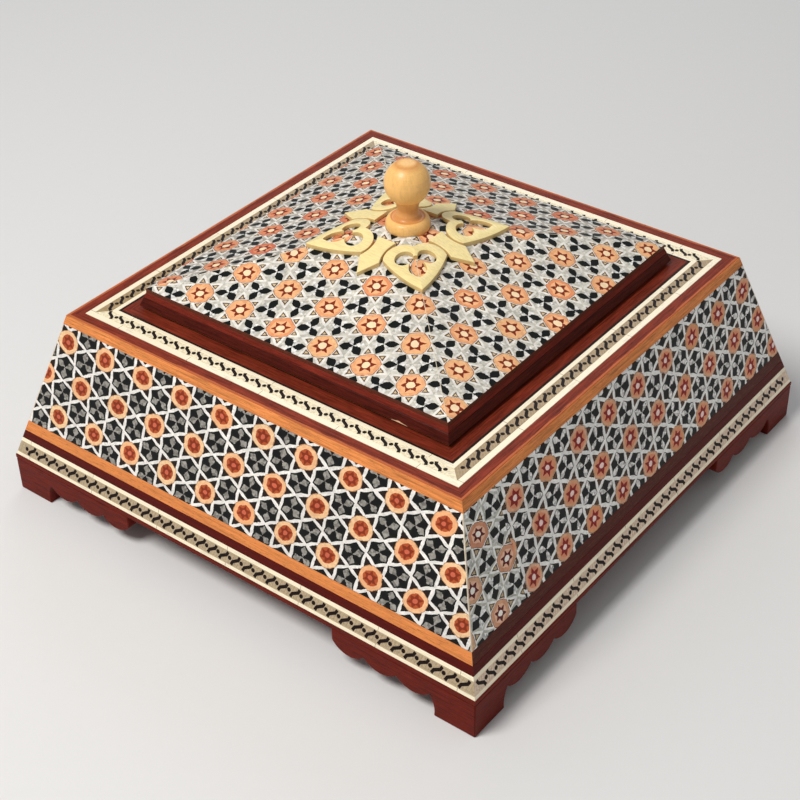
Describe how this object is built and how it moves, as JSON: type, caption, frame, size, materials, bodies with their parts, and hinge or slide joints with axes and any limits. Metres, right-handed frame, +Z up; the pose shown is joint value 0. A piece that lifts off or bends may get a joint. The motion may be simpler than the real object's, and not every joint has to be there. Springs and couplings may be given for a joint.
{
  "type": "lidded inlaid candy dish",
  "caption": "Square lidded wooden candy dish with flared inlaid walls, scalloped bracket feet, a low pyramid lid, a fretted heart ornament and a turned knob.",
  "frame": {"origin": "centre of the footprint on the table plane", "axes": "+Z up, -Y towards the front wall, +X to the right wall"},
  "size_m": [0.2, 0.2, 0.1191],
  "materials": {
    "carcass_wood": "plain sawn wood, unvarnished inside",
    "mosaic_wall": "micro-mosaic inlay of wood, bone and wire, varnished",
    "orange_wood": "varnished orange wood strip",
    "dark_red_wood": "stained dark red wood, varnished",
    "bone": "polished bone line",
    "zigzag_wall": "tan inlay band with black zigzag, varnished",
    "zigzag_rim": "white inlay band with black zigzag, varnished",
    "black_wood": "black stained line",
    "foot_wood": "red-brown stained wood, slightly rough",
    "lid_wood": "dark red-brown stained wood",
    "lid_edge_wood": "lighter red-brown edge strip",
    "core_wood": "plain pale wood, hidden",
    "mosaic_lid": "micro-mosaic inlay of wood, bone and wire, varnished",
    "fret_wood": "pale yellow sawn fretwork, satin",
    "knob_wood": "honey-coloured turned wood, waxed"
  },
  "bodies": {
    "box": {"base_board": "carcass_wood", "floor_panel": "carcass_wood", "corner_blocks": "carcass_wood", "wall_front": "carcass_wood", "wall_right": "carcass_wood", "wall_back": "carcass_wood", "wall_left": "carcass_wood", "rim_rail_front": "carcass_wood", "rim_rail_right": "carcass_wood", "rim_rail_back": "carcass_wood", "rim_rail_left": "carcass_wood", "inlay_front": "mosaic_wall", "inlay_right": "mosaic_wall", "inlay_back": "mosaic_wall", "inlay_left": "mosaic_wall", "upper_edge_strips": "orange_wood", "lower_edge_strips": "orange_wood", "dark_strips": "dark_red_wood", "rim_border": "dark_red_wood", "rim_lipping": "dark_red_wood", "upper_ivory_lines": "bone", "lower_ivory_lines": "bone", "rim_outer_ivory": "bone", "rim_inner_ivory": "bone", "wall_zigzag_bands": "zigzag_wall", "rim_zigzag": "zigzag_rim", "rim_dark_line": "black_wood", "apron_front_left": "foot_wood", "apron_front_right": "foot_wood", "apron_right_front": "foot_wood", "apron_right_back": "foot_wood", "apron_back_right": "foot_wood", "apron_back_left": "foot_wood", "apron_left_back": "foot_wood", "apron_left_front": "foot_wood"},
    "lid": {"lid_board": "lid_wood", "lid_battens": "lid_wood", "lid_frame_front": "lid_wood", "lid_frame_right": "lid_wood", "lid_frame_back": "lid_wood", "lid_frame_left": "lid_wood", "lid_edge_strips": "lid_edge_wood", "lid_core": "core_wood", "lid_inlay_front": "mosaic_lid", "lid_inlay_right": "mosaic_lid", "lid_inlay_back": "mosaic_lid", "lid_inlay_left": "mosaic_lid", "fret_hearts": "fret_wood", "fret_leaves": "fret_wood", "knob": "knob_wood"}
  },
  "joints": [
    {"name": "lid_lift", "type": "slide", "parent": "box", "child": "lid", "axis": [0, 0, 1], "range_m": [0, 0.08]}
  ]
}
